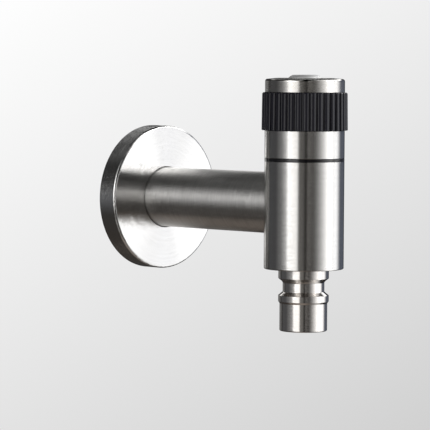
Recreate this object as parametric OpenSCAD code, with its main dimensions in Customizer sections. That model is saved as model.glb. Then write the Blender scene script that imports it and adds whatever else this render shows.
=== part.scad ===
// Outdoor spigot: a wall-mounted tap with a round arm, an upright round body,
// a turning knob on top and a grooved quick-coupling nipple below.
// Frame: the wall is the plane Y = 0 and the tap stands out along -Y.
// The arm's axis is the line X = 0, Z = 0. +Z is up. The origin is the
// centre of the wall face. Millimetres.

/* [Overall] */
// Distance from the wall to the axis of the upright body
reach = 95.6; // [92:0.1:115]
// Outside diameter of the upright body, the handle sleeve and its cap
body_d = 35; // [34.8:0.1:37]
// Height of the upright body above the arm's axis
body_up = 18.9; // [18.7:0.1:19.6]
// Depth of the upright body below the arm's axis
body_down = 28.2; // [28:0.1:34]
// Edge rounding at the foot of the body
body_edge = 0.5; // [0.2:0.1:1]

/* [Arm and inlet] */
// Outside diameter of the arm tube
arm_d = 27.2; // [26.8:0.1:28]
// Wall thickness of the arm tube
arm_wall = 2.1; // [1.8:0.1:2.3]
// Distance of the arm's end face from the wall
arm_gap = 3; // [2.8:0.1:4]
// Major diameter of the wall thread (G 1/2)
thread_d = 20.955; // [20.8:0.005:21]
// How far the wall thread reaches into the wall
thread_l = 13.5; // [11:0.5:16]
// Diameter of the water way through the inlet
inlet_bore_d = 14; // [12:0.5:14.5]

/* [Rosette] */
// Diameter of the rosette
rosette_d = 65.6; // [60:0.1:75]
// Depth of the rosette, from the wall to its face
rosette_h = 9.8; // [9.2:0.1:12]
// Rounding of the rosette's front edge
rosette_edge = 1.15; // [0.6:0.05:1.6]
// Radial gap between the rosette's bore and the arm
rosette_gap = 0.4; // [0.2:0.05:0.5]

/* [Handle] */
// Visible height of the black slide ring
seam_h = 1.4; // [1:0.1:1.8]
// Height of the plain handle skirt under the grip
skirt_h = 12.1; // [11.8:0.1:13]
// Height of the grip ring
grip_h = 16.5; // [15.5:0.1:17.5]
// Grip diameter at the top
grip_d_top = 37.3; // [36.8:0.1:40.4]
// Grip diameter at the bottom
grip_d_bottom = 37.7; // [36.8:0.1:40.6]
// Number of ribs round the grip
grip_ribs = 36; // [24:1:40]
// Width of each rib
rib_w = 2.3; // [1.9:0.05:2.4]
// Radius of the ribs' rounded crowns
rib_crown = 1.6; // [1.3:0.05:2.2]
// Depth of the grooves between the ribs
groove_depth = 1.1; // [0.8:0.05:1.2]
// Height of the cap above the grip
cap_h = 6.4; // [5.8:0.1:8]
// Rounding of the cap's top edge
cap_edge = 1.9; // [0.8:0.1:2.2]
// Height of the badge above the cap
badge_h = 1.4; // [0.8:0.1:1.6]
// Badge diameter at its foot
badge_d = 14.4; // [12:0.1:16]

/* [Hose nipple] */
// Diameter of the two collars
collar_d = 22.2; // [21.4:0.05:22.4]
// Diameter of the locking groove
groove_d = 18.32; // [17.8:0.02:18.4]
// Diameter of the plain end that the coupling seals on
tail_d = 20.94; // [20.4:0.02:21.2]
// Depth of the nipple's end below the body
nipple_l = 27.25; // [26:0.05:32]
// Diameter of the water way through the nipple
nipple_bore_d = 13.8; // [12.8:0.1:14]

/* [Cartridge] */
// Spindle diameter
spindle_d = 9; // [8.8:0.1:9.2]
// Ceramic disc diameter
disc_d = 15; // [14.8:0.05:15.1]
// Width of each disc port, in degrees
port_angle = 76; // [60:1:80]
// Outer radius of the disc ports
port_r = 5.2; // [4.6:0.1:5.3]
// Handle travel that the stop allows, in degrees
stop_travel = 90; // [80:1:95]

/* [Check valve] */
// Travel of the poppet that the free space must allow
poppet_travel = 3.5; // [2.5:0.1:3.6]
// Turns of the closing spring
spring_turns = 6; // [4:1:7]

/* [Hidden] */

$fn = 96;
e = 0.5;                          // overshoot of cutting tools
run = 0.05;                       // radial running clearance
steel = [0.74, 0.73, 0.71];
brass_c = [0.80, 0.66, 0.36];
black = [0.08, 0.08, 0.09];
ceramic = [0.93, 0.92, 0.88];

body_r = body_d / 2;
arm_r = arm_d / 2;
arm_bore_r = arm_r - arm_wall;
thread_r = thread_d / 2;

// heights in the cartridge's own frame, whose zero is the body's top face
floor_c = -27.9;                  // floor of the water chamber
step_c = -6.5;                    // step that the housing's collar sits on
neck_top = 8.6;                   // top of the housing's neck
sleeve_0 = seam_h + 0.05;         // foot of the handle sleeve
grip_0 = seam_h + skirt_h + 0.05; // foot of the grip ring
grip_1 = grip_0 + grip_h;         // top of the grip ring
cap_0 = grip_1 + 0.05;            // underside of the cap's rim
cap_1 = cap_0 + cap_h;            // top of the cap
web_0 = 14.1;                     // underside of the sleeve's driving web
web_1 = 17.1;                     // top of the web
core_r = body_r - 1.1;            // sleeve core under the grip
rib_phase = 3.8;                  // angle of the first rib in the closed position
hex_r = 7 / cos(30);              // 14 mm across flats

// ---------- placing ----------
// frame of the cartridge and handle: zero at the body's top face
module at_top() translate([0, -reach, body_up]) children();
// frame of the nipple: zero at the body's foot
module at_foot() translate([0, -reach, -body_down]) children();
// frame of the arm: +Z of the child becomes the distance out from the wall
module from_wall() rotate([90, 0, 0]) children();

// ---------- 2D helpers (x is the radius, y the height) ----------
// rectangle from radius a to b and height p to q
module ring_box(a, b, p, q) translate([a, p]) square([b - a, q - p]);
// what a rounding of radius f takes off the corner at (x, y); sx and sy give the corner's side
module corner_waste(x, y, f, sx, sy)
    translate([x - sx * f, y - sy * f]) difference() {
        translate([sx > 0 ? 0 : -f - 0.2, sy > 0 ? 0 : -f - 0.2]) square(f + 0.2);
        circle(r = f, $fn = 64);
    }
module lathe() rotate_extrude($fn = 128) children();
// full ring of round section
module o_ring_shape(mid_r, sec_r, h)
    lathe() translate([mid_r, h]) circle(r = sec_r, $fn = 32);
// pie slice of half-angle a from radius p to q, centred on +Y
module slice(a, p, q) {
    n = 8;
    polygon(concat(
        [for (i = [0:n]) let (t = 90 - a + 2 * a * i / n) [q * cos(t), q * sin(t)]],
        [for (i = [0:n]) let (t = 90 + a - 2 * a * i / n) [p * cos(t), p * sin(t)]]));
}
// hexagonal prism, s across flats
module hex_prism(s, p, q)
    translate([0, 0, p]) linear_extrude(q - p) circle(r = s / 2 / cos(30), $fn = 6);
// two opposite ports of a ceramic disc, as true arcs with straight flanks
module ports_2d() {
    intersection() {
        difference() {
            circle(r = port_r, $fn = 64);
            circle(r = 1.2, $fn = 48);
        }
        for (s = [0, 180]) rotate(s)
            polygon([[0, 0],
                [-9 * sin(port_angle / 2), 9 * cos(port_angle / 2)],
                [9 * sin(port_angle / 2), 9 * cos(port_angle / 2)]]);
    }
}

// ---------- fixed body ----------
module valve_body() color(steel) difference() {
    translate([0, -reach, 0]) lathe() difference() {
        ring_box(0, body_r, -body_down, body_up);
        corner_waste(body_r, -body_down, body_edge, 1, -1);
        corner_waste(body_r, body_up, 0.15, 1, 1);
    }
    at_top() {
        // seat of the slide ring and of the cartridge's collar
        translate([0, 0, step_c]) cylinder(r = 13, h = -step_c + e);
        // cartridge thread
        translate([0, 0, -11.6]) cylinder(r = 10.5, h = 5.6);
        // water chamber round the cartridge
        translate([0, 0, floor_c]) cylinder(r = 12.2, h = 16.4);
        // throat from the seat down to the outlet
        translate([0, 0, floor_c - 14]) cylinder(r = 5.5, h = 14.5);
    }
    // outlet thread
    at_foot() translate([0, 0, -e]) cylinder(r = 10, h = 13.7 + e);
    // inlet port from the arm
    translate([0, -reach, 0]) rotate([-90, 0, 0]) cylinder(r = 6.8, h = body_r + e);
}

module arm_tube() color(steel) difference() {
    from_wall() lathe() difference() {
        ring_box(arm_bore_r, arm_r, arm_gap, reach);
        corner_waste(arm_r, arm_gap, 0.3, 1, -1);
    }
    // saddle that fits the body
    translate([0, -reach, -40]) cylinder(r = body_r, h = 80);
}

module inlet_stud() color(steel) from_wall() lathe() difference() {
    polygon([
        [0, arm_gap + 12], [arm_bore_r, arm_gap + 12], [arm_bore_r, arm_gap],
        [9.3, arm_gap], [9.3, 0.8], [thread_r, 0.8],
        [thread_r, -thread_l + 1], [thread_r - 1, -thread_l], [0, -thread_l]]);
    ring_box(-1, inlet_bore_d / 2, -thread_l - e, arm_gap + 12 + e);
    ring_box(-1, 8.2, -thread_l - e, -thread_l + 2.5);
}

module inlet_o_ring() color(black) from_wall()
    o_ring_shape(9.3 + 1.1, 1.1, arm_gap - 1.1);

module inlet_strainer() color([0.8, 0.8, 0.8]) from_wall() {
    lathe() ring_box(7.2, 8.15, -thread_l + 0.3, -thread_l + 2.5);
    translate([0, 0, -thread_l + 1.6]) linear_extrude(0.6) difference() {
        circle(r = 7.4, $fn = 64);
        for (i = [-4:4], j = [-4:4])
            if (norm([i, j]) * 1.6 < 6.3)
                translate([i * 1.6 - 0.55, j * 1.6 - 0.55]) square(1.1);
    }
}

module slide_ring() color(black) at_top() lathe() difference() {
    union() {
        ring_box(11.5, body_r, 0, seam_h);
        ring_box(11.5, 12.95, step_c + 3.05, 0.1);
    }
    corner_waste(body_r, seam_h, 0.2, 1, 1);
    corner_waste(body_r, 0, 0.2, 1, -1);
}

// ---------- cartridge, fixed pieces ----------
module cartridge_housing() color(brass_c) at_top() {
    difference() {
        union() {
            lathe() polygon([
                [0, floor_c + 0.6], [9, floor_c + 0.6], [9, -11.5], [10.4, -11.1],
                [10.4, step_c], [12.8, step_c], [12.8, -5.8], [11.4, -5.8],
                [11.4, -4.2], [12.8, -4.2], [12.8, -3.5], [7.5, -3.5],
                [7.5, neck_top], [0, neck_top]]);
            hex_prism(19, -3.6, 1.5);
            // stop lug on the neck
            rotate(-45) translate([6.5, -1.7, 3.4]) cube([2.9, 3.4, 3]);
        }
        // disc chamber
        translate([0, 0, floor_c - e]) cylinder(r = disc_d / 2 + 0.1, h = -floor_c - 14.5 + e);
        // spindle bore
        translate([0, 0, -15]) cylinder(r = spindle_d / 2 + run, h = 30);
        // water windows
        translate([-4.8, -12, -21.8]) cube([9.6, 24, 4.9]);
        // notches that hold the fixed disc
        translate([-12, -1.6, floor_c - e]) cube([24, 3.2, 5.4 + e]);
    }
}

module housing_o_ring() color(black) at_top() o_ring_shape(12.2, 0.8, -5);

module seat_seal() color(black) at_top()
    lathe() difference() {
        ring_box(5.3, disc_d / 2, floor_c, floor_c + 2.4);
        // waist that lets the ring give
        translate([disc_d / 2 + 0.5, floor_c + 1.2]) circle(r = 0.9, $fn = 32);
    }

module fixed_disc() color(ceramic) at_top() translate([0, 0, floor_c + 2.4])
    linear_extrude(3) difference() {
        union() {
            circle(r = disc_d / 2, $fn = 96);
            translate([-8.6, -1.5]) square([17.2, 3]);
        }
        ports_2d();
    }

// ---------- cartridge and handle, turning pieces ----------
module moving_disc() color(ceramic) at_top() translate([0, 0, floor_c + 5.45])
    difference() {
        linear_extrude(2.95) difference() {
            circle(r = disc_d / 2 - 0.05, $fn = 96);
            rotate(90) ports_2d();
        }
        // slot for the spindle's dog
        translate([-2.1, -10, 1.35]) cube([4.2, 20, 3]);
    }

module spindle() color(brass_c) at_top() difference() {
    union() {
        lathe() polygon([
            [0, -16.5], [disc_d / 2 - 0.1, -16.5], [disc_d / 2 - 0.1, -15.3],
            [spindle_d / 2, -15.3], [spindle_d / 2, -11.5], [3.3, -11.5],
            [3.3, -9.6], [spindle_d / 2, -9.6], [spindle_d / 2, -7], [3.3, -7],
            [3.3, -5.1], [spindle_d / 2, -5.1], [spindle_d / 2, 8.75], [3.7, 8.75],
            [3.7, 9.65], [spindle_d / 2, 9.65], [spindle_d / 2, 11.1], [4, 11.1],
            [4, 16.6], [3.6, 17], [0, 17]]);
        // dog that drives the disc
        intersection() {
            translate([-2, -6.8, -21.05]) cube([4, 13.6, 4.6]);
            translate([0, 0, -22]) cylinder(r = 6.9, h = 10);
        }
    }
    // tapped hole for the handle screw
    translate([0, 0, 7]) cylinder(r = 2, h = 11);
    // spline
    for (i = [0:19]) rotate(18 * i)
        translate([3.6, -0.3, 11.15]) cube([1, 0.6, 7]);
}

module spindle_o_rings() color(black) at_top()
    for (h = [-10.55, -6.05]) o_ring_shape(3.3 + 0.6, 0.6, h);

module spindle_washer() color([0.9, 0.9, 0.88]) at_top()
    lathe() ring_box(spindle_d / 2, disc_d / 2 - 0.1, -15.3, -14.6);

module spindle_circlip() color([0.35, 0.35, 0.36]) at_top()
    translate([0, 0, 8.8]) linear_extrude(0.8) difference() {
        circle(r = 6, $fn = 64);
        circle(r = 3.7, $fn = 48);
        rotate(45) translate([0, -1.8]) square([8, 3.6]);
    }

module spline_hub() color([0.16, 0.16, 0.17]) at_top() difference() {
    union() {
        translate([0, 0, 3]) cylinder(r = 9.6, h = web_0 - 3);
        hex_prism(14, web_0 - 0.1, web_1 - 0.1);
    }
    // room for the housing's neck and the circlip
    translate([0, 0, 2]) cylinder(r = 8, h = 9.1);
    // splined bore
    difference() {
        translate([0, 0, 10]) cylinder(r = 4.02, h = 9);
        for (i = [0:19]) rotate(18 * i)
            translate([3.65, -0.25, 11.1]) cube([1, 0.5, 9]);
    }
    // slot that the stop lug runs in
    translate([0, 0, 2]) linear_extrude(5) for (k = [0:3])
        let (span = stop_travel + 27.5, half = span / 8)
        rotate(-45 + 13.75 - half - 2 * half * k - 90) slice(half + 0.2, 7, 11);
}

module handle_sleeve() color(steel) at_top() difference() {
    lathe() difference() {
        union() {
            ring_box(0, body_r, sleeve_0, grip_0 - 0.05);
            ring_box(0, core_r, sleeve_0, cap_0);
        }
        corner_waste(body_r, sleeve_0, 0.2, 1, -1);
        corner_waste(body_r, grip_0 - 0.05, 0.2, 1, 1);
        ring_box(-1, 14, 0, web_0);
        ring_box(-1, 14.6, web_1, cap_0 + e);
    }
    hex_prism(14.1, web_0 - e, web_1 + e);
}

module grip_ring() color(black) at_top() {
    lean = atan((grip_d_bottom - grip_d_top) / 2 / grip_h);
    difference() {
        intersection() {
            union() {
                cylinder(r = grip_d_bottom / 2 - groove_depth, h = 60);
                // upright ribs with rounded crowns that lean in by the grip's taper
                for (i = [0:grip_ribs - 1]) rotate(i * 360 / grip_ribs + rib_phase) intersection() {
                    translate([grip_d_bottom / 2 - rib_crown, 0, grip_0]) rotate([0, -lean, 0])
                        translate([0, 0, -5]) cylinder(r = rib_crown, h = grip_h + 10);
                    translate([grip_d_bottom / 2 - groove_depth - 0.3, -rib_w / 2, grip_0 - 2])
                        cube([4, rib_w, grip_h + 4]);
                }
            }
            // end faces and their chamfers
            lathe() polygon([
                [0, grip_0], [grip_d_bottom / 2 - 0.2, grip_0],
                [grip_d_bottom / 2 + 0.65, grip_0 + 0.85], [grip_d_bottom / 2 + 0.65, grip_1 - 1.15],
                [grip_d_top / 2 - 0.5, grip_1], [0, grip_1]]);
        }
        translate([0, 0, grip_0 - e]) cylinder(r = core_r + run, h = grip_h + 2 * e);
    }
}

module handle_cap() color(steel) at_top() lathe() difference() {
    union() {
        ring_box(4, body_r - 0.05, cap_0, cap_1 - 0.3);
        ring_box(12.3, 14.5, cap_0 - 6, cap_0 + 0.1);
        // slightly crowned top
        polygon([[4, cap_1 - 0.4], [body_r - 0.05 - cap_edge, cap_1 - 0.4],
            [body_r - 0.05 - cap_edge, cap_1 - 0.3], [9, cap_1], [4, cap_1]]);
    }
    corner_waste(body_r - 0.05, cap_1 - 0.3, cap_edge, 1, 1);
    ring_box(3.9, 12.3, cap_0 - e, cap_1 - 3);
}

module cap_badge() color([0.8, 0.8, 0.79]) at_top() lathe() {
    ring_box(0, 3.95, cap_1 - 3.4, cap_1);
    difference() {
        polygon([[0, cap_1], [badge_d / 2, cap_1], [badge_d / 2, cap_1 + 0.12],
            [badge_d / 2 - 2.1, cap_1 + badge_h], [0, cap_1 + badge_h]]);
    }
}

module handle_washer() color([0.7, 0.7, 0.7]) at_top()
    lathe() ring_box(2.2, 9, web_1, web_1 + 1);

module handle_screw() color([0.6, 0.6, 0.6]) at_top() difference() {
    lathe() polygon([
        [0, 8], [1.5, 8], [1.95, 8.45], [1.95, web_1 + 1],
        [3.5, web_1 + 1], [3.5, web_1 + 3.3], [3.2, web_1 + 3.6], [0, web_1 + 3.6]]);
    hex_prism(3, web_1 + 1.9, web_1 + 4.5);
}

// ---------- outlet ----------
module outlet_nipple() color(steel) at_foot() lathe() difference() {
    polygon([
        [0, 12.2], [9.4, 12.2], [9.9, 11.7], [9.9, 0], [collar_d / 2, 0],
        [collar_d / 2, -4.3], [collar_d / 2 - 1.45, -5.6],
        [groove_d / 2 + 0.15, -6.1], [groove_d / 2, -6.45],
        [groove_d / 2, -9.8], [groove_d / 2 + 0.12, -10.05],
        [collar_d / 2 - 0.1, -11.55], [collar_d / 2, -11.75],
        [collar_d / 2, -14.25], [collar_d / 2 - 0.55, -15],
        [tail_d / 2, -15.15], [tail_d / 2, -nipple_l], [0, -nipple_l]]);
    corner_waste(tail_d / 2, -nipple_l, 0.55, 1, -1);
    corner_waste(collar_d / 2, 0, 0.1, 1, 1);
    ring_box(-1, 7.4, -3.9, 12.2 + e);
    ring_box(-1, nipple_bore_d / 2, -nipple_l - e, 0);
    // lead-in at the mouth
    polygon([[0, -nipple_l - 0.1], [nipple_bore_d / 2 + 0.7, -nipple_l - 0.1],
        [nipple_bore_d / 2 - 0.1, -nipple_l + 0.7], [0, -nipple_l + 0.7]]);
}

module nipple_washer() color(black) at_foot()
    lathe() ring_box(5.2, 9.8, 12.2, 13.7);

module check_cage() color([0.85, 0.85, 0.82]) at_foot() {
    lathe() difference() {
        ring_box(4.2, 7.35, -3.8, 12.15);
        ring_box(4, 6.3, -4, 9.7);
        ring_box(6.46, 7.5, 10.4, 11.4);
    }
    // spider that guides the stem
    difference() {
        union() {
            translate([0, 0, -3.8]) cylinder(r = 2.9, h = 3);
            for (a = [90, 210, 330]) rotate(a)
                translate([0, -0.6, -3.8]) cube([6.5, 1.2, 2.4]);
        }
        translate([0, 0, -5]) cylinder(r = 1.25, h = 6);
    }
}

module check_o_ring() color(black) at_foot() o_ring_shape(6.93, 0.47, 10.9);

module check_poppet() color([0.25, 0.35, 0.6]) at_foot()
    lathe() polygon([
        [0, 9.55], [3, 9.55], [3.3, 9.25], [3.3, 8.7], [5.3, 8.7], [5.3, 7.8],
        [5, 7.5], [1.2, 7.5], [1.2, -2.4], [0.9, -2.7], [0, -2.7]]);

module poppet_seal() color(black) at_foot()
    lathe() ring_box(3.3, 5.3, 8.7, 9.65);

// closing spring: one wire swept along a helix, between the poppet and the spider
spring_mid = 2.1;
spring_wire = 0.3;
spring_lo = -0.45;
spring_hi = 7.15;
spring_n = 14 * spring_turns;
spring_k = 6;
function spring_at(i, j) =
    let (t = 360 * spring_turns * i / spring_n,
         a = 360 * j / spring_k,
         r = spring_mid + spring_wire * cos(a))
    [r * cos(t), r * sin(t),
     spring_lo + (spring_hi - spring_lo) * i / spring_n + spring_wire * sin(a)];
module check_spring() color([0.7, 0.7, 0.7]) at_foot()
    polyhedron(
        points = [for (i = [0:spring_n], j = [0:spring_k - 1]) spring_at(i, j)],
        faces = concat(
            [[for (j = [0:spring_k - 1]) j]],
            [for (i = [0:spring_n - 1], j = [0:spring_k - 1])
                let (j2 = (j + 1) % spring_k, p = i * spring_k, q = p + spring_k)
                [p + j, q + j, q + j2, p + j2]],
            [[for (j = [spring_k - 1:-1:0]) spring_n * spring_k + j]]),
        convexity = 10);

// ---------- rosette ----------
module rosette() color(steel) from_wall() lathe() difference() {
    ring_box(arm_r + rosette_gap, rosette_d / 2, 0, rosette_h);
    corner_waste(rosette_d / 2, rosette_h, rosette_edge, 1, 1);
    corner_waste(arm_r + rosette_gap, rosette_h, 0.15, -1, 1);
    // hollow back between hub and rim
    ring_box(arm_r + rosette_gap + 3.6, rosette_d / 2 - 2.6, -e, rosette_h - 1.9);
    ring_box(arm_r, arm_r + rosette_gap + 3.7, -e, 2.4);
    // seat of the gasket
    ring_box(rosette_d / 2 - 2.7, rosette_d / 2 - 1.2, -e, 1.6);
    // groove of the O-ring
    ring_box(arm_r, arm_r + run + 1.8, 4.5, 6.5);
}

module rosette_o_ring() color(black) from_wall()
    o_ring_shape(arm_r + run + 0.9, 0.9, 5.5);

module rosette_gasket() color([0.2, 0.2, 0.2]) from_wall() lathe()
    ring_box(rosette_d / 2 - 4.4, rosette_d / 2 - 1.2, 0, 1.6);

valve_body();
arm_tube();
inlet_stud();
inlet_o_ring();
inlet_strainer();
slide_ring();
cartridge_housing();
housing_o_ring();
seat_seal();
fixed_disc();
moving_disc();
spindle();
spindle_o_rings();
spindle_washer();
spindle_circlip();
spline_hub();
handle_sleeve();
grip_ring();
handle_cap();
cap_badge();
handle_screw();
handle_washer();
outlet_nipple();
nipple_washer();
check_cage();
check_o_ring();
check_poppet();
poppet_seal();
check_spring();
rosette();
rosette_o_ring();
rosette_gasket();
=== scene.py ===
import math

import bmesh
import bpy
import numpy as np
from mathutils import Matrix, Vector

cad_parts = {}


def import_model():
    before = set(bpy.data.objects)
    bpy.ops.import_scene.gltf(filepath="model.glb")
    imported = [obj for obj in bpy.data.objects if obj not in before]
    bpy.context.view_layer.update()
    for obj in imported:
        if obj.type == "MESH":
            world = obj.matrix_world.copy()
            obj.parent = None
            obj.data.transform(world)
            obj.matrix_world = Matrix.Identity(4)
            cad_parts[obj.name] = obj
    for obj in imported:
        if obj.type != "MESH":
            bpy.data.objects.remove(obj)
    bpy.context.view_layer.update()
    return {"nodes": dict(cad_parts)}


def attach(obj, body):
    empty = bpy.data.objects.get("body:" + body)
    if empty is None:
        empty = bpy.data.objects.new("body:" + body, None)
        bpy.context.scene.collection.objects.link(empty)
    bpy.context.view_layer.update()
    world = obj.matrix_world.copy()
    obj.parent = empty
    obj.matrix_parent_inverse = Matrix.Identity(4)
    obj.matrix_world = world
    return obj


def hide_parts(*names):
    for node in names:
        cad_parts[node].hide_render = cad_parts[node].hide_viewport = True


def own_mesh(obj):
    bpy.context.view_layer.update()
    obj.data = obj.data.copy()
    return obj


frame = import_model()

# All shapes below are given in millimetres in the part's own frame: the wall is
# the plane y = 0, the tap stands out along -Y, the arm's axis is x = 0, z = 0.
MM = 0.001
REACH = 95.6      # wall to the axis of the upright body
TOP = 18.9        # top face of the body
FOOT = -28.2      # foot of the body
BODY_R = 17.5
ARM_R = 13.6
SEG = 256


# ---------------------------------------------------------------- mesh helpers
def rounded(pts, closed=True, step=11.0, support=0.05):
    """Outline in (r, h) whose corners (r, h, radius) become arcs.
    A point just outside each arc keeps the flat faces beside it flat."""
    out = []
    n = len(pts)
    for i, p in enumerate(pts):
        rad = p[2] if len(p) > 2 else 0.0
        b = np.array(p[:2], float)
        if rad <= 0 or (not closed and i in (0, n - 1)):
            out.append(b)
            continue
        a = np.array(pts[i - 1][:2], float)
        c = np.array(pts[(i + 1) % n][:2], float)
        la, lc = np.linalg.norm(a - b), np.linalg.norm(c - b)
        u, v = (a - b) / la, (c - b) / lc
        ang = math.acos(max(-1.0, min(1.0, float(u @ v))))
        t = rad / math.tan(ang / 2)
        t = min(t, 0.46 * la, 0.46 * lc)
        rad = t * math.tan(ang / 2)
        mid = (u + v) / np.linalg.norm(u + v)
        cen = b + mid * rad / math.sin(ang / 2)
        p0, p1 = b + u * t, b + v * t
        k = max(2, int(math.ceil(math.degrees(math.pi - ang) / step)))
        s = min(support, 0.08 * la, 0.08 * lc)
        out.append(p0 + u * s)
        d0, d1 = p0 - cen, p1 - cen
        a0 = math.atan2(d0[1], d0[0])
        da = math.atan2(d1[1], d1[0]) - a0
        while da > math.pi:
            da -= 2 * math.pi
        while da < -math.pi:
            da += 2 * math.pi
        for j in range(k + 1):
            w = a0 + da * j / k
            out.append(cen + rad * np.array([math.cos(w), math.sin(w)]))
        out.append(p1 + v * s)
    return [tuple(q) for q in out]


def place(frame_axis, r, ang, h):
    """(r, angle, height) about the upright axis, or about the arm's axis with h out from the wall."""
    if frame_axis == "up":
        return (r * math.cos(ang), -REACH + r * math.sin(ang), h)
    return (r * math.cos(ang), -h, r * math.sin(ang))


def to_object(name, verts, faces, body, *nodes, slot=None, sharp=32.0, merge=1e-7):
    """Mesh in mm to a finished object in metres that rides on a body and stands for CAD nodes."""
    me = bpy.data.meshes.new(name)
    me.from_pydata([(x * MM, y * MM, z * MM) for x, y, z in verts], [], faces)
    bm = bmesh.new()
    bm.from_mesh(me)
    bmesh.ops.remove_doubles(bm, verts=bm.verts, dist=merge)
    bmesh.ops.dissolve_degenerate(bm, edges=bm.edges, dist=merge / 2)
    bmesh.ops.recalc_face_normals(bm, faces=bm.faces)
    bm.to_mesh(me)
    bm.free()
    me.shade_smooth()
    me.set_sharp_from_angle(angle=math.radians(sharp))
    ob = bpy.data.objects.new(name, me)
    bpy.context.scene.collection.objects.link(ob)
    if body:
        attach(ob, body)
    if nodes:
        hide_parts(*nodes)
    return ob


class Turned:
    """Collects rings of points and the faces between them."""

    def __init__(self, axis, seg=SEG):
        self.axis, self.seg, self.v, self.f = axis, seg, [], []

    def ring(self, r, h, shape=None):
        i0 = len(self.v)
        for i in range(self.seg):
            a = 2 * math.pi * i / self.seg
            rr = shape(a) if shape else r
            self.v.append(place(self.axis, rr, a, h))
        return i0

    def pole(self, h):
        self.v.append(place(self.axis, 0.0, 0.0, h))
        return len(self.v) - 1

    def band(self, a, b):
        n = self.seg
        for i in range(n):
            j = (i + 1) % n
            self.f.append((a + i, a + j, b + j, b + i))

    def fan(self, ring, pole):
        n = self.seg
        for i in range(n):
            self.f.append((ring + i, ring + (i + 1) % n, pole))

    def sweep(self, pts, closed=True, shapes=None):
        """Turns an outline; points with r = 0 become poles, shapes gives a point its own r(angle)."""
        ids = []
        for k, (r, h) in enumerate(pts):
            sh = shapes.get(k) if shapes else None
            ids.append(("p", self.pole(h)) if r < 1e-6 and not sh else ("r", self.ring(r, h, sh)))
        pairs = list(zip(ids, ids[1:]))
        if closed:
            pairs.append((ids[-1], ids[0]))
        for (ta, a), (tb, b) in pairs:
            if ta == "r" and tb == "r":
                self.band(a, b)
            elif ta == "r":
                self.fan(a, b)
            elif tb == "r":
                self.fan(b, a)
        return ids


def turned(name, axis, pts, body, *nodes, slot=None, seg=SEG, step=11.0, dz=0.0, sharp=32.0):
    """A lathe-turned piece from one closed outline."""
    prof = rounded([(p[0], p[1] + dz) + tuple(p[2:]) for p in pts], step=step)
    t = Turned(axis, seg)
    t.sweep(prof)
    return to_object(name, t.v, t.f, body, *nodes, slot=slot, sharp=sharp)


def whitworth(u, pitch):
    """Height of the pipe-thread form over its mean line at u (in pitches from a crest)."""
    u = abs((u + 0.5) % 1.0 - 0.5)
    h, rad = 0.640327 * pitch, 0.137329 * pitch
    if u < 0.1218:
        return h / 2 - rad + math.sqrt(rad * rad - (u * pitch) ** 2)
    if u > 0.3782:
        return -(h / 2 - rad + math.sqrt(rad * rad - ((0.5 - u) * pitch) ** 2))
    edge = h / 2 - rad + math.sqrt(rad * rad - (0.1218 * pitch) ** 2)
    return edge * (0.25 - u) / (0.25 - 0.1218)


THREAD_U = (-0.5, -0.46, -0.42, -0.378, -0.30, -0.21, -0.122, -0.085, -0.045,
            0.0, 0.045, 0.085, 0.122, 0.21, 0.30, 0.378, 0.42, 0.46)


def thread(t, major, pitch, h0, h1, limit, form=whitworth, sign=1):
    """Helical thread surface between heights h0 and h1; limit(h) caps the radius, for chamfers.
    Columns follow the helix, so crests and roots are clean lines. Ends are plain rings."""
    n = t.seg
    depth = 0.640327 * pitch
    mean = major - sign * depth / 2
    lo = int(math.floor(h0 / pitch)) - 2
    hi = int(math.ceil(h1 / pitch)) + 2
    us = [(k, u) for k in range(lo, hi) for u in THREAD_U]
    base = len(t.v)
    for k, u in us:
        for i in range(n):
            a = 2 * math.pi * i / n
            h = pitch * (k + u + i / n)
            if h <= h0:
                h, r = h0, limit(h0)
            elif h >= h1:
                h, r = h1, limit(h1)
            else:
                r = mean + sign * form(u, pitch)
                r = min(r, limit(h)) if sign > 0 else max(r, limit(h))
            t.v.append(place(t.axis, r, a, h))
    m = len(THREAD_U)
    for j in range(len(us) - 1):
        for i in range(n - 1):
            a = base + j * n + i
            t.f.append((a, a + 1, a + n + 1, a + n))
        # the seam: one turn on, the helix has climbed one pitch
        j2 = j + m
        if j2 + 1 < len(us):
            a, b = base + j * n + n - 1, base + (j + m) * n
            t.f.append((a, b, b + n, a + n))
    # close what lies past the last full turn at each end (it all sits on one ring)
    return base


# ---------------------------------------------------------------- fixed pieces
def make_valve_body():
    prof = rounded([
        (10.0, FOOT, 0.25), (BODY_R, FOOT, 0.5), (BODY_R, TOP, 0.15), (13.0, TOP, 0.25),
        (13.0, 12.4, 0.1), (10.5, 12.4, 0.2), (10.5, 7.4, 0.1), (12.2, 7.4, 0.3), (12.2, -9.0, 0.5),
        (5.5, -9.0, 0.3), (5.5, -14.5, 0.15), (10.0, -14.5, 0.2)])
    t = Turned("up")
    t.sweep(prof)
    ob = to_object("body_shell", t.v, t.f, None)
    cut = Turned("wall", 96)
    cut.sweep([(0.0, 76.0), (6.8, 76.0), (6.8, REACH - 2), (0.0, REACH - 2)], closed=False)
    tool = to_object("port_tool", cut.v, cut.f, None)
    mod = ob.modifiers.new("port", "BOOLEAN")
    mod.operation, mod.object, mod.solver = "DIFFERENCE", tool, "EXACT"
    dg = bpy.context.evaluated_depsgraph_get()
    me = bpy.data.meshes.new_from_object(ob.evaluated_get(dg))
    ob.modifiers.clear()
    bm = bmesh.new()
    bm.from_mesh(me)
    bmesh.ops.remove_doubles(bm, verts=bm.verts, dist=5e-7)
    bmesh.ops.dissolve_degenerate(bm, edges=bm.edges, dist=2e-7)
    bm.to_mesh(me)
    bm.free()
    ob.data = me
    me.shade_smooth()
    me.set_sharp_from_angle(angle=math.radians(32))
    bpy.data.objects.remove(tool)
    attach(ob, "tap")
    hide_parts("valve_body")
    return ob


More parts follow.
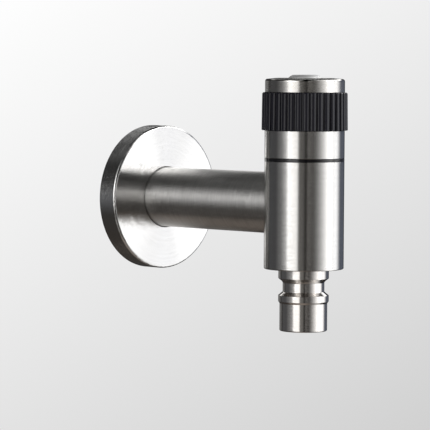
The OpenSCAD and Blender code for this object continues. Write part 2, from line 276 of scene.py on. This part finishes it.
def make_arm():
    """Tube with a saddle end that meets the upright body in a small rolled fillet."""
    n, rho, bore = SEG, 0.3, 11.5
    v, f, rows = [], [], []

    def row(fn):
        i0 = len(v)
        for i in range(n):
            v.append(fn(2 * math.pi * i / n))
        rows.append(i0)

    for r, h in rounded([(bore, 3.0), (ARM_R, 3.0, 0.3), (ARM_R, 60.0)], closed=False):
        row(lambda a, r=r, h=h: (r * math.cos(a), -h, r * math.sin(a)))

    def ball(a):
        cx, cz = (ARM_R + rho) * math.cos(a), (ARM_R + rho) * math.sin(a)
        cy = math.sqrt((BODY_R + rho) ** 2 - cx * cx)
        return np.array([cx, cy, cz])

    def saddle(a, w):
        c = ball(a)
        d0 = -np.array([math.cos(a), 0.0, math.sin(a)])
        d1 = -np.array([c[0], c[1], 0.0]) / (BODY_R + rho)
        ang = math.acos(max(-1.0, min(1.0, float(d0 @ d1))))
        d = (math.sin((1 - w) * ang) * d0 + math.sin(w * ang) * d1) / math.sin(ang)
        p = c + rho * d
        return (p[0], p[1] - REACH, p[2])

    def before(a):
        p = saddle(a, 0.0)
        return (p[0], p[1] + 0.06, p[2])

    row(before)
    for k in range(9):
        row(lambda a, k=k: saddle(a, k / 8))

    def inner(a, h=None):
        x, z = bore * math.cos(a), bore * math.sin(a)
        return (x, -REACH + math.sqrt(BODY_R ** 2 - x * x), z)

    row(inner)
    for a, b in zip(rows, rows[1:] + rows[:1]):
        for i in range(n):
            j = (i + 1) % n
            f.append((a + i, a + j, b + j, b + i))
    return to_object("arm", v, f, "tap", "arm_tube", slot="brushed_arm")


def make_stud():
    """Threaded inlet: a true helical G 1/2 thread with chamfered ends."""
    t = Turned("wall", 128)
    h0, h1 = -13.5, 0.8
    prof = rounded([
        (9.36, h0), (8.2, h0, 0.15), (8.2, -11.0, 0.08), (7.0, -11.0, 0.12), (7.0, 15.0, 0.3),
        (11.5, 15.0, 0.3), (11.5, 3.0, 0.12), (9.3, 3.0, 0.15), (9.3, h1)], closed=False)
    prof[-1] = (9.3, h1)
    t.sweep(prof, closed=False)
    thread(t, 10.4775, 1.8143, h0, h1,
           lambda h: max(9.3 if h > 0 else 9.36, min(10.4775, 9.36 + (h - h0) * 1.05, 9.3 + (h1 - h) * 1.7)))
    return to_object("inlet_thread_stud", t.v, t.f, "tap", "inlet_stud", slot="turned_steel", sharp=40)


def make_slide_ring():
    return turned("black_slide_ring", "up", [
        (11.5, -3.45, 0.15), (12.95, -3.45, 0.2), (12.95, 0.0, 0.1), (17.5, 0.0, 0.2),
        (17.5, 1.4, 0.2), (11.5, 1.4, 0.2)], "tap", "slide_ring", slot="black_ring", dz=TOP)


def make_nipple():
    b = FOOT
    outer = [
        (11.1, 0.0, 0.1), (11.1, -4.15, 0.2), (9.6, -5.35, 0.25), (9.16, -6.0, 0.4),
        (9.16, -10.05, 0.25), (11.1, -11.6, 0.2), (11.1, -14.25, 0.2), (10.47, -15.1, 0.2),
        (10.47, -27.25, 0.55), (7.6, -27.25, 0.2), (6.9, -26.55, 0.15), (6.9, -3.9, 0.1), (7.4, -3.9, 0.1)]
    t = Turned("up", SEG)
    # the outline is open where the screw thread sits
    low = rounded([(9.5, 0.6 + b), (9.5, 0.0 + b, 0.0)] + [(p[0], p[1] + b) + tuple(p[2:]) for p in outer]
                  + [(7.4, 12.2 + b, 0.15), (9.4, 12.2 + b, 0.1), (9.5, 11.7 + b)], closed=False, step=9)
    low[0], low[-1] = (9.5, 0.6 + b), (9.5, 11.7 + b)
    t.sweep(low, closed=False)
    h0, h1 = 0.6 + b, 11.7 + b
    thread(t, 9.9, 1.0, h0, h1, lambda h: min(9.9, 9.5 + (h - h0) * 1.2, 9.5 + (h1 - h) * 1.0))
    return to_object("hose_nipple", t.v, t.f, "tap", "outlet_nipple", slot="nipple_steel", sharp=40)


# ---------------------------------------------------------------- turning pieces
def make_sleeve():
    def hexagon(a):
        s = math.radians(60)
        return 7.05 / math.cos(((a + s / 2) % s) - s / 2)

    seg = 264
    pts = rounded([
        (14.0, 1.45, 0.3), (17.5, 1.45, 0.2), (17.5, 13.5, 0.2), (16.4, 13.5, 0.1), (16.4, 30.1, 0.2),
        (14.6, 30.1, 0.3), (14.6, 17.1, 0.2)], closed=False)
    pts = pts + [(7.6, 17.1), (7.05, 17.1), (7.05, 14.1), (7.6, 14.1)] + \
        rounded([(9.0, 14.1), (14.0, 14.1, 0.2), (14.0, 1.45)], closed=False)[1:-1]
    shapes = {}
    for k, (r, h) in enumerate(pts):
        if abs(r - 7.05) < 1e-9:
            shapes[k] = hexagon
        if abs(r - 7.6) < 1e-9:
            shapes[k] = lambda a: hexagon(a) * 1.035
    t = Turned("up", seg)
    t.sweep([(r, h + TOP) for r, h in pts], shapes=shapes)
    return to_object("handle_skirt", t.v, t.f, "handle", "handle_sleeve", slot="brushed_body")


def make_grip():
    """Ring with 36 upright ribs: round-topped ribs with narrow flat-bottomed grooves, chamfered ends."""
    z0, z1 = 13.55, 30.05
    rb, rt = 18.85, 18.65
    floor, half, crown, edge, fil = 17.75, 1.15, 1.6, 0.16, 0.12
    inner = 16.45
    line = rounded([(rb - 0.3, z0), (rb - 0.2, z0, 0.04), (rb, z0 + 0.2, 0.1), (rt, z1 - 0.5, 0.3),
                    (rt - 0.5, z1, 0.08), (rt - 0.62, z1)], closed=False, step=14)
    line = [p for p in line if z0 - 1e-9 <= p[1] <= z1 + 1e-9]

    def half_rib(crest, top):
        """Points (along the rib's middle line, offset sideways) from the rib's middle to the groove's.
        crest is the height of the rib's crown there, top is what the end chamfer leaves."""
        cen = crest - crown
        pts = []
        # where the crown ends: the rounding of radius edge touches the crown and the flank
        ye = half - edge
        we = math.asin(ye / (crown - edge))
        for k in range(7):
            w = we * k / 6
            pts.append((cen + crown * math.cos(w), crown * math.sin(w)))
        ex = cen + (crown - edge) * math.cos(we)
        for k in (1, 2, 3):
            w = we + (math.pi / 2 - we) * k / 3
            pts.append((ex + edge * math.cos(w), ye + edge * math.sin(w)))
        for k in (0, 1, 2):
            w = math.radians(45 * k)
            pts.append((floor + fil - fil * math.sin(w), half + fil - fil * math.cos(w)))
        pts.append((floor * math.cos(math.radians(5)), floor * math.sin(math.radians(5))))
        out = []
        for x, y in pts:
            q = math.hypot(x, y)
            out.append((x * top / q, y * top / q) if q > top else (x, y))
        return out

    v, f, rows = [], [], []
    for R, z in line:
        i0 = len(v)
        crest = rb + (rt - rb) * (z - z0) / (z1 - z0)
        hp = half_rib(crest, min(R, crest))
        for g in range(36):
            ga = math.radians(10 * g + 3.8)
            for x, y in [(p[0], -p[1]) for p in hp[:0:-1]] + hp[:-1]:
                v.append((x * math.cos(ga) - y * math.sin(ga),
                          -REACH + x * math.sin(ga) + y * math.cos(ga), z + TOP))
        rows.append((i0, len(v) - i0))
    n = rows[0][1]
    # the bore, with the same number of points round
    for r, z in ((inner + 0.1, z1), (inner, z1 - 0.1), (inner, z0 + 0.1), (inner + 0.1, z0)):
        i0 = len(v)
        first = rows[0][0]
        for i in range(n):
            x, y = v[first + i][0], v[first + i][1] + REACH
            q = math.hypot(x, y)
            v.append((x / q * r, -REACH + y / q * r, z + TOP))
        rows.append((i0, n))
    for (a, _), (b, _) in zip(rows, rows[1:] + rows[:1]):
        for i in range(n):
            j = (i + 1) % n
            f.append((a + i, a + j, b + j, b + i))
    return to_object("ribbed_grip", v, f, "handle", "grip_ring", slot="grip_black", sharp=38)


def make_cap():
    return turned("top_cap", "up", [
        (4.0, 33.5, 0.1), (12.3, 33.5, 0.6), (12.3, 24.1, 0.15), (14.5, 24.1, 0.3), (14.5, 30.1, 0.1),
        (17.45, 30.1, 0.12), (17.45, 35.85, 1.1), (12.0, 36.35, 8.0), (4.0, 36.35, 0.1)],
        "handle", "handle_cap", slot="brushed_cap", dz=TOP, step=6)


def make_badge():
    """Domed disc with a raised rim line."""
    c = 36.35
    prof = rounded([
        (0.0, c - 3.4), (3.95, c - 3.4, 0.2), (3.95, c, 0.08), (7.2, c, 0.04), (7.2, c + 0.1, 0.08),
        (6.55, c + 0.72, 0.9), (5.35, c + 1.33, 0.45), (4.6, c + 1.36, 0.3), (4.45, c + 1.24, 0.05),
        (4.0, c + 1.26, 0.05), (3.85, c + 1.385, 0.2), (0.0, c + 1.4)], closed=False, step=9)
    t = Turned("up", 192)
    t.sweep([(r, h + TOP) for r, h in prof], closed=False)
    return to_object("cap_button", t.v, t.f, "handle", "cap_badge", slot="badge_steel")


# ---------------------------------------------------------------- rosette
def make_rosette():
    return turned("wall_cover", "wall", [
        (31.6, 0.0, 0.15), (32.8, 0.0, 0.15), (32.8, 9.8, 1.15), (14.0, 9.8, 0.15), (14.0, 6.5, 0.1),
        (15.45, 6.5, 0.1), (15.45, 4.5, 0.1), (14.0, 4.5, 0.1), (14.0, 2.4, 0.2), (17.6, 2.4, 0.3),
        (17.6, 7.9, 0.6), (30.2, 7.9, 0.8), (30.2, 1.6, 0.15), (31.6, 1.6, 0.1)],
        "wall_rosette", "rosette", slot="rosette_steel", step=8)


def make_spring():
    """Closing spring: round wire, six turns."""
    turns, mid, wire = 6, 2.1, 0.3
    lo, hi = -0.45 + FOOT, 7.15 + FOOT
    nb, k = 24 * turns, 12
    v, f = [], []
    for i in range(nb + 1):
        s = i / nb
        a = 2 * math.pi * turns * s
        z = lo + (hi - lo) * s
        for j in range(k):
            w = 2 * math.pi * j / k
            r = mid + wire * math.cos(w)
            v.append((r * math.cos(a), -REACH + r * math.sin(a), z + wire * math.sin(w)))
    for i in range(nb):
        for j in range(k):
            j2 = (j + 1) % k
            f.append((i * k + j, i * k + j2, (i + 1) * k + j2, (i + 1) * k + j))
    f.append(tuple(range(k)))
    f.append(tuple(nb * k + j for j in reversed(range(k))))
    ob = to_object("closing_spring", v, f, "poppet", "check_spring", slot="spring_steel", sharp=50)
    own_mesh(ob)
    return ob


# ---------------------------------------------------------------- material helpers
class Nodes:
    """Small wrapper that adds and links shader nodes."""

    def __init__(self, tree):
        self.t = tree
        self.t.nodes.clear()

    def add(self, kind, **props):
        n = self.t.nodes.new(kind)
        for k, val in props.items():
            setattr(n, k, val)
        return n

    def link(self, a, b):
        self.t.links.new(a, b)

    def math(self, op, a, b=None, c=None, clamp=False):
        n = self.add("ShaderNodeMath", operation=op, use_clamp=clamp)
        for i, x in enumerate((a, b, c)):
            if x is None:
                continue
            if isinstance(x, (int, float)):
                n.inputs[i].default_value = x
            else:
                self.link(x, n.inputs[i])
        return n.outputs[0]

    def remap(self, x, a, b, c, d, smooth=False):
        n = self.add("ShaderNodeMapRange", interpolation_type="SMOOTHSTEP" if smooth else "LINEAR")
        self.link(x, n.inputs["Value"])
        for k, val in (("From Min", a), ("From Max", b), ("To Min", c), ("To Max", d)):
            n.inputs[k].default_value = val
        return n.outputs["Result"]


def new_material(name):
    m = bpy.data.materials.new(name)
    m.use_nodes = True
    n = Nodes(m.node_tree)
    out = n.add("ShaderNodeOutputMaterial")
    p = n.add("ShaderNodeBsdfPrincipled")
    n.link(p.outputs[0], out.inputs["Surface"])
    return m, n, p


def noise(n, vec, scale, detail=2.0, rough=0.5, w=None):
    k = n.add("ShaderNodeTexNoise")
    if w is not None:
        k.noise_dimensions = "4D"
        k.inputs["W"].default_value = w
    n.link(vec, k.inputs["Vector"])
    k.inputs["Scale"].default_value = scale
    k.inputs["Detail"].default_value = detail
    k.inputs["Roughness"].default_value = rough
    return k.outputs["Fac"]


def axis_coords(n, axis, centre):
    """Cylinder coordinates in millimetres: radius, height along the axis, and both
    cross-axis components."""
    tc = n.add("ShaderNodeTexCoord")
    mp = n.add("ShaderNodeMapping")
    n.link(tc.outputs["Object"], mp.inputs["Vector"])
    mp.inputs["Location"].default_value = tuple(-c for c in centre)
    mp.inputs["Scale"].default_value = (1000, 1000, 1000)
    mp.inputs["Location"].default_value = tuple(-1000 * c for c in centre)
    sep = n.add("ShaderNodeSeparateXYZ")
    n.link(mp.outputs[0], sep.inputs[0])
    x, y, z = sep.outputs
    u, v, h = (x, y, z) if axis == "Z" else (x, z, n.math("MULTIPLY", y, -1.0))
    rad = n.math("SQRT", n.math("ADD", n.math("MULTIPLY", u, u), n.math("MULTIPLY", v, v)))
    return mp.outputs[0], u, v, h, rad


def combine(n, x, y, z):
    c = n.add("ShaderNodeCombineXYZ")
    for i, s in enumerate((x, y, z)):
        if isinstance(s, (int, float)):
            c.inputs[i].default_value = s
        else:
            n.link(s, c.inputs[i])
    return c.outputs[0]


def turned_steel(name, axis="Z", centre=(0, -0.0956, 0), rough=0.27, aniso=0.95, base=(0.605, 0.60, 0.592),
                 groove=0.6, feed=7.0, wobble=0.16, line=1.0, stain=1.0, pitch=1.15, crown=None):
    """Stainless steel finished on a lathe: fine grooves run round the axis, so highlights
    stretch across them. The grooves (feed of them per millimetre) tilt the surface a little,
    each by its own amount, and their tone and gloss vary. crown is a height, a radius and the
    roughness of the rounded edge above and outside them, which has been polished."""
    m, n, p = new_material(name)
    vec, u, v, h, rad = axis_coords(n, axis, centre)
    along = n.math("ADD", h, n.math("MULTIPLY", rad, 0.83))
    # very fine across the grooves, slow along them
    slow = combine(n, n.math("MULTIPLY", u, 0.035), n.math("MULTIPLY", v, 0.035), along)
    coarse = noise(n, slow, pitch, 3.0, 0.62)
    fine = noise(n, slow, 5.5, 3.0, 0.7)
    tilt_a = noise(n, slow, feed, 2.0, 0.6, w=3.1)
    tilt_b = noise(n, slow, 1.3, 2.0, 0.6, w=7.7)
    blotch = noise(n, vec, 0.09, 2.0, 0.5)
    tone = n.math("ADD", n.math("MULTIPLY", n.math("SUBTRACT", coarse, 0.5), 0.22 * line),
                  n.math("MULTIPLY", n.math("SUBTRACT", fine, 0.5), 0.20 * line))
    tone = n.math("ADD", tone, n.math("MULTIPLY", n.math("SUBTRACT", blotch, 0.5), 0.06 * stain))
    gain = n.math("ADD", tone, 1.0)
    mix = n.add("ShaderNodeVectorMath", operation="SCALE")
    mix.inputs[0].default_value = base
    n.link(gain, mix.inputs["Scale"])
    n.link(mix.outputs[0], p.inputs["Base Color"])
    p.inputs["Metallic"].default_value = 1.0
    var = n.math("ADD", n.math("MULTIPLY", n.math("SUBTRACT", fine, 0.5), 0.08 * line),
                 n.math("MULTIPLY", n.math("SUBTRACT", blotch, 0.5), 0.04 * stain))
    r = n.math("ADD", var, rough)
    r.node.name = "rough_base"
    if crown:
        polish = n.math("MULTIPLY", n.remap(h, crown[0] - 0.12, crown[0] + 0.12, 0.0, rough - crown[2], True),
                        n.remap(rad, crown[1] - 0.3, crown[1] + 0.3, 0.0, 1.0, True))
        r = n.math("SUBTRACT", r, polish)
    n.link(r, p.inputs["Roughness"])
    p.inputs["Anisotropic"].default_value = aniso
    p.inputs["Anisotropic Rotation"].default_value = 0.25
    tg = n.add("ShaderNodeTangent", direction_type="RADIAL", axis=axis)
    n.link(tg.outputs[0], p.inputs["Tangent"])
    # grooves: the surface leans across them, never along them
    geo = n.add("ShaderNodeNewGeometry")
    cross = n.add("ShaderNodeVectorMath", operation="CROSS_PRODUCT")
    n.link(geo.outputs["Normal"], cross.inputs[0])
    n.link(tg.outputs[0], cross.inputs[1])
    lean = n.math("ADD", n.math("MULTIPLY", n.math("SUBTRACT", tilt_a, 0.5), 1.0),
                  n.math("MULTIPLY", n.math("SUBTRACT", tilt_b, 0.5), wobble))
    lean = n.math("MULTIPLY", lean, groove)
    lean.node.name = "groove_gain"
    push = n.add("ShaderNodeVectorMath", operation="SCALE")
    n.link(cross.outputs[0], push.inputs[0])
    n.link(lean, push.inputs["Scale"])
    add = n.add("ShaderNodeVectorMath", operation="ADD")
    n.link(geo.outputs["Normal"], add.inputs[0])
    n.link(push.outputs[0], add.inputs[1])
    unit = n.add("ShaderNodeVectorMath", operation="NORMALIZE")
    n.link(add.outputs[0], unit.inputs[0])
    n.link(unit.outputs[0], p.inputs["Normal"])
    return m


def plain(name, base, rough, metallic=0.0, spec=0.5, grain=0.06, scale=0.6, bump=0.15, coat=0.0, coat_rough=0.1,
          centre=(0, -0.0956, 0), bump_scale=None, dist=0.00003):
    """Moulded or turned small part with mottled tone, varied gloss and a fine grain."""
    m, n, p = new_material(name)
    vec, u, v, h, rad = axis_coords(n, "Z", centre)
    a = noise(n, vec, scale, 3.0, 0.55)
    b = noise(n, vec, bump_scale or scale * 8, 2.0, 0.6)
    gain = n.math("ADD", n.math("MULTIPLY", n.math("SUBTRACT", a, 0.5), grain * 2), 1.0)
    mix = n.add("ShaderNodeVectorMath", operation="SCALE")
    mix.inputs[0].default_value = base
    n.link(gain, mix.inputs["Scale"])
    n.link(mix.outputs[0], p.inputs["Base Color"])
    p.inputs["Metallic"].default_value = metallic
    p.inputs["Specular IOR Level"].default_value = spec
    n.link(n.math("ADD", n.math("MULTIPLY", n.math("SUBTRACT", a, 0.5), 0.12), rough), p.inputs["Roughness"])
    if coat:
        p.inputs["Coat Weight"].default_value = coat
        p.inputs["Coat Roughness"].default_value = coat_rough
    k = n.add("ShaderNodeBump")
    k.inputs["Strength"].default_value = bump
    k.inputs["Distance"].default_value = dist
    n.link(b, k.inputs["Height"])
    n.link(k.outputs[0], p.inputs["Normal"])
    return m


def dress(ob, mat):
    ob.data.materials.clear()
    ob.data.materials.append(mat)
    for poly in ob.data.polygons:
        poly.material_index = 0


def make_materials():
    up = (0, -0.0956, 0)
    return {
        "body": turned_steel("body_turned_steel", "Z", up, rough=0.24, aniso=0.95, groove=0.5, feed=16.0, wobble=0.08,
                             line=0.6, base=(0.608, 0.599, 0.584)),
        "arm": turned_steel("arm_brushed_steel", "Y", (0, 0, 0), rough=0.31, aniso=1.0, groove=0.8, line=1.8,
                            wobble=0.2, pitch=2.0, base=(0.603, 0.594, 0.578)),
        "rosette": turned_steel("rosette_turned_steel", "Y", (0, 0, 0), rough=0.11, aniso=1.0, groove=1.0, feed=24.0,
                                wobble=0.08, line=0.6),
        "cap": turned_steel("cap_turned_steel", "Z", up, rough=0.28, aniso=0.95, groove=0.5, feed=16.0, wobble=0.08,
                            line=0.6, base=(0.63, 0.615, 0.59), crown=(53.65, 12.8, 0.1)),
        "nipple": turned_steel("nipple_turned_steel", "Z", up, rough=0.19, aniso=0.9, groove=0.3, feed=16.0, wobble=0.1,
                               line=0.5, base=(0.635, 0.613, 0.59)),
        "badge": turned_steel("badge_steel", "Z", up, rough=0.6, aniso=0.0, groove=0.2, base=(0.93, 0.925, 0.92)),
        "stud": turned_steel("stud_turned_steel", "Y", (0, 0, 0), rough=0.38, aniso=0.6, groove=0.3),
        "screw": turned_steel("screw_steel", "Z", up, rough=0.4, aniso=0.5, groove=0.2),
        "grip": plain("grip_black_plastic", (0.0083, 0.0079, 0.0140), 0.31, spec=0.36, grain=0.12, scale=0.5),
        "ring": plain("slide_ring_gloss_black", (0.0035, 0.0034, 0.0045), 0.09, spec=0.55, grain=0.08),
        "hub": plain("hub_dark_plastic", (0.035, 0.036, 0.04), 0.5, grain=0.1),
        "brass": plain("cartridge_brass", (0.72, 0.50, 0.20), 0.3, metallic=1.0, grain=0.08, scale=0.35, bump=0.25),
        "ceramic": plain("disc_ceramic", (0.82, 0.80, 0.74), 0.14, grain=0.03, coat=0.4),
        "rubber": plain("seal_rubber", (0.022, 0.022, 0.023), 0.62, grain=0.15, scale=0.8, bump=0.35),
        "gasket": plain("gasket_rubber", (0.06, 0.06, 0.062), 0.75, grain=0.2, scale=0.9, bump=0.5),
        "white": plain("white_acetal", (0.78, 0.78, 0.75), 0.38, grain=0.04),
        "blue": plain("poppet_blue_plastic", (0.06, 0.14, 0.42), 0.36, grain=0.08),
        "spring": plain("spring_steel", (0.55, 0.54, 0.52), 0.26, metallic=1.0, grain=0.08),
        "mesh": plain("strainer_steel", (0.60, 0.59, 0.57), 0.32, metallic=1.0, grain=0.08, bump=0.3),
    }


# ---------------------------------------------------------------- studio
def make_world():
    """A pale backdrop for the eye, and a studio of soft boxes and dark cards for the reflections.
    Directions are given as azimuth from the side the photograph is taken from, right positive."""
    w = bpy.data.worlds.new("studio")
    bpy.context.scene.world = w
    w.use_nodes = True
    n = Nodes(w.node_tree)
    out = n.add("ShaderNodeOutputWorld")
    tc = n.add("ShaderNodeTexCoord")
    sep = n.add("ShaderNodeSeparateXYZ")
    n.link(tc.outputs["Generated"], sep.inputs[0])
    x, y, z = sep.outputs
    front = math.radians(224.2)
    cx, cy = math.cos(front), math.sin(front)
    fwd = n.math("ADD", n.math("MULTIPLY", x, cx), n.math("MULTIPLY", y, cy))
    side = n.math("ADD", n.math("MULTIPLY", x, -cy), n.math("MULTIPLY", y, cx))
    az = n.math("MULTIPLY", n.math("ARCTAN2", side, fwd), 180 / math.pi)
    el = n.math("MULTIPLY", n.math("ARCSINE", z), 180 / math.pi)

    def box(a0, a1, e0, e1, power, sa, sb, s0, s1, tint=(1.0, 1.0, 1.0)):
        """Light panel from azimuth a0 to a1 and elevation e0 to e1; sa, sb, s0, s1 soften its edges."""
        c = (a0 + a1) / 2
        q = n.math("WRAP", az, c + 180.0, c - 180.0)
        m = n.math("MULTIPLY", n.remap(q, a0 - sa, a0 + sa, 0, 1, True), n.remap(q, a1 - sb, a1 + sb, 1, 0, True))
        m = n.math("MULTIPLY", m, n.remap(el, e0 - s0, e0 + s0, 0, 1, True))
        m = n.math("MULTIPLY", m, n.remap(el, e1 - s1, e1 + s1, 1, 0, True))
        light = n.add("ShaderNodeVectorMath", operation="SCALE")
        light.inputs[0].default_value = tuple(power * t for t in tint)
        n.link(m, light.inputs["Scale"])
        return light.outputs[0]

    warm, cool = (1.0, 0.86, 0.76), (0.86, 0.96, 1.22)
    panels = [
        # soft box on the left, brightest at its top, and its spill
        box(-52, -19, -12, 21, 1.25, 5, 3, 14, 6),
        box(-60, -37, 10, 34, 3.7, 16, 14, 20, 16),
        box(-43, -22, -58, 17, 0.6, 17, 4, 18, 3, (1.0, 0.98, 0.96)),
        box(-80, -44, -4, 15, 0.45, 14, 4, 9, 7),
        box(-42, -1, -16, 1, 0.39, 17, 7, 17, 18, (1.0, 0.97, 0.93)),
        box(-121, -44, -14, 5, 0.07, 3, 6, 8, 9, (0.95, 0.98, 1.07)),
        box(-54, -15, 39, 85, 0.4, 30, 11, 6, 8),
        # large soft box on the right: a bright strip high up, a dimmer sheet below and before it
        box(67, 113, 21, 36, 4.5, 6, 3, 3, 17),
        box(66, 114, -54, 11, 1.66, 45, 13, 24, 4),
        box(64, 86, -10, 81, 2.15, 44, 3, 4, 15),
        # light from behind, over the top of the wall
        box(83, 180, 23, 32, 3.0, 3, 16, 4, 8),
        box(89, 158, -21, 27, 0.14, 3, 8, 6, 6, cool),
        box(-200, -129, 32, 37, 0.8, 3, 29, 5, 5),
        # small lamp beside the camera
        box(6, 23, 1, 12, 0.9, 4, 35, 11, 5, (1.0, 0.97, 0.94)),
        # the pale wall of the room far behind
        box(176, 228, -5, 3, 0.34, 9, 10, 8, 6),
        # the dark room and its floor
        box(-189, -76, -30, 95, 0.04, 6, 5, 24, 3),
        box(-210, 103, -95, -24, 0.05, 9, 5, 3, 28, warm),
        box(-215, 54, -95, -55, 0.26, 26, 50, 3, 6, warm),
    ]
    total = panels[0]
    for panel in panels[1:]:
        add = n.add("ShaderNodeVectorMath", operation="ADD")
        n.link(total, add.inputs[0])
        n.link(panel, add.inputs[1])
        total = add.outputs[0]
    studio = n.add("ShaderNodeBackground")
    n.link(total, studio.inputs["Color"])
    studio.inputs["Strength"].default_value = 1.0
    # what the camera sees behind the object
    pale = n.add("ShaderNodeBackground")
    pale.inputs["Color"].default_value = (1, 1, 1, 1)
    glow = n.math("ADD", n.remap(z, -0.15, 0.035, 0.685, 0.941), n.remap(side, -0.09, 0.09, 0.072, -0.072))
    n.link(glow, pale.inputs["Strength"])
    lp = n.add("ShaderNodeLightPath")
    mixs = n.add("ShaderNodeMixShader")
    n.link(lp.outputs["Is Camera Ray"], mixs.inputs["Fac"])
    n.link(studio.outputs[0], mixs.inputs[1])
    n.link(pale.outputs[0], mixs.inputs[2])
    n.link(mixs.outputs[0], out.inputs["Surface"])


def make_floor():
    """Pale round floor that fades out at its rim."""
    v, f = [], []
    nr, ns, R = 12, 96, 900.0
    v.append((0.0, -48.0, -300.0))
    for k in range(1, nr + 1):
        for i in range(ns):
            a = 2 * math.pi * i / ns
            v.append((R * k / nr * math.cos(a), -48.0 + R * k / nr * math.sin(a), -300.0))
    for i in range(ns):
        f.append((0, 1 + i, 1 + (i + 1) % ns))
    for k in range(nr - 1):
        for i in range(ns):
            a, b = 1 + k * ns, 1 + (k + 1) * ns
            f.append((a + i, b + i, b + (i + 1) % ns, a + (i + 1) % ns))
    ob = to_object("floor", v, f, None)
    if ob.data.polygons[0].normal.z < 0:
        ob.data.flip_normals()
    m, n, p = new_material("floor_pale")
    vec, u, vv, h, rad = axis_coords(n, "Z", (0, -0.048, 0))
    tone = noise(n, vec, 0.02, 2.0, 0.5)
    gain = n.math("ADD", n.math("MULTIPLY", n.math("SUBTRACT", tone, 0.5), 0.02), 0.98)
    mix = n.add("ShaderNodeVectorMath", operation="SCALE")
    mix.inputs[0].default_value = (0.80, 0.80, 0.80)
    n.link(gain, mix.inputs["Scale"])
    n.link(mix.outputs[0], p.inputs["Base Color"])
    p.inputs["Roughness"].default_value = 0.8
    geo = n.add("ShaderNodeNewGeometry")
    fade = n.remap(rad, 350.0, 880.0, 1.0, 0.0, True)
    vis = n.math("MULTIPLY", fade, n.math("SUBTRACT", 1.0, geo.outputs["Backfacing"]))
    n.link(vis, p.inputs["Alpha"])
    dress(ob, m)
    ob.visible_glossy = False


def make_camera():
    az, pitch, roll = math.radians(-45.789), math.radians(3.275), math.radians(0.32)
    back = Vector((math.sin(az) * math.cos(pitch), -math.cos(az) * math.cos(pitch), math.sin(pitch)))
    right = Vector((math.cos(az), math.sin(az), 0.0))
    up = back.cross(right)
    r2 = right * math.cos(roll) + up * math.sin(roll)
    u2 = up * math.cos(roll) - right * math.sin(roll)
    data = bpy.data.cameras.new("photo_camera")
    data.sensor_fit = "HORIZONTAL"
    data.sensor_width = 36.0
    data.lens = 2609.12 / 430 * 36.0
    data.clip_start, data.clip_end = 0.05, 50.0
    data.dof.use_dof = False
    cam = bpy.data.objects.new("photo_camera", data)
    bpy.context.scene.collection.objects.link(cam)
    cam.rotation_mode = "QUATERNION"
    rot = Matrix((r2, u2, back)).transposed()
    cam.rotation_quaternion = rot.to_quaternion()
    cam.location = (-0.84435, -0.86266, 0.06036)
    bpy.context.scene.camera = cam


# ---------------------------------------------------------------- build
make_camera()
make_world()
make_floor()
M = make_materials()

dress(make_valve_body(), M["body"])
dress(make_arm(), M["arm"])
dress(make_stud(), M["stud"])
dress(make_slide_ring(), M["ring"])
dress(make_nipple(), M["nipple"])
dress(make_sleeve(), M["body"])
dress(make_grip(), M["grip"])
dress(make_cap(), M["cap"])
dress(make_badge(), M["badge"])
dress(make_rosette(), M["rosette"])
dress(make_spring(), M["spring"])

INNER = {
    "inlet_o_ring": "rubber", "inlet_strainer": "mesh", "cartridge_housing": "brass", "housing_o_ring": "rubber",
    "seat_seal": "rubber", "fixed_disc": "ceramic", "moving_disc": "ceramic", "spindle": "brass",
    "spindle_o_rings": "rubber", "spindle_washer": "white", "spindle_circlip": "spring", "spline_hub": "hub",
    "handle_screw": "screw", "handle_washer": "screw", "nipple_washer": "rubber", "check_cage": "white",
    "check_o_ring": "rubber", "check_poppet": "blue", "poppet_seal": "rubber", "rosette_o_ring": "rubber",
    "rosette_gasket": "gasket",
}
for node, mat in INNER.items():
    dress(frame["nodes"][node], M[mat])

bpy.context.scene.cycles.blur_glossy = 0.0
view = bpy.context.scene.view_settings
view.view_transform = "Standard"
view.look = "None"
view.exposure = 0.0
view.gamma = 1.0
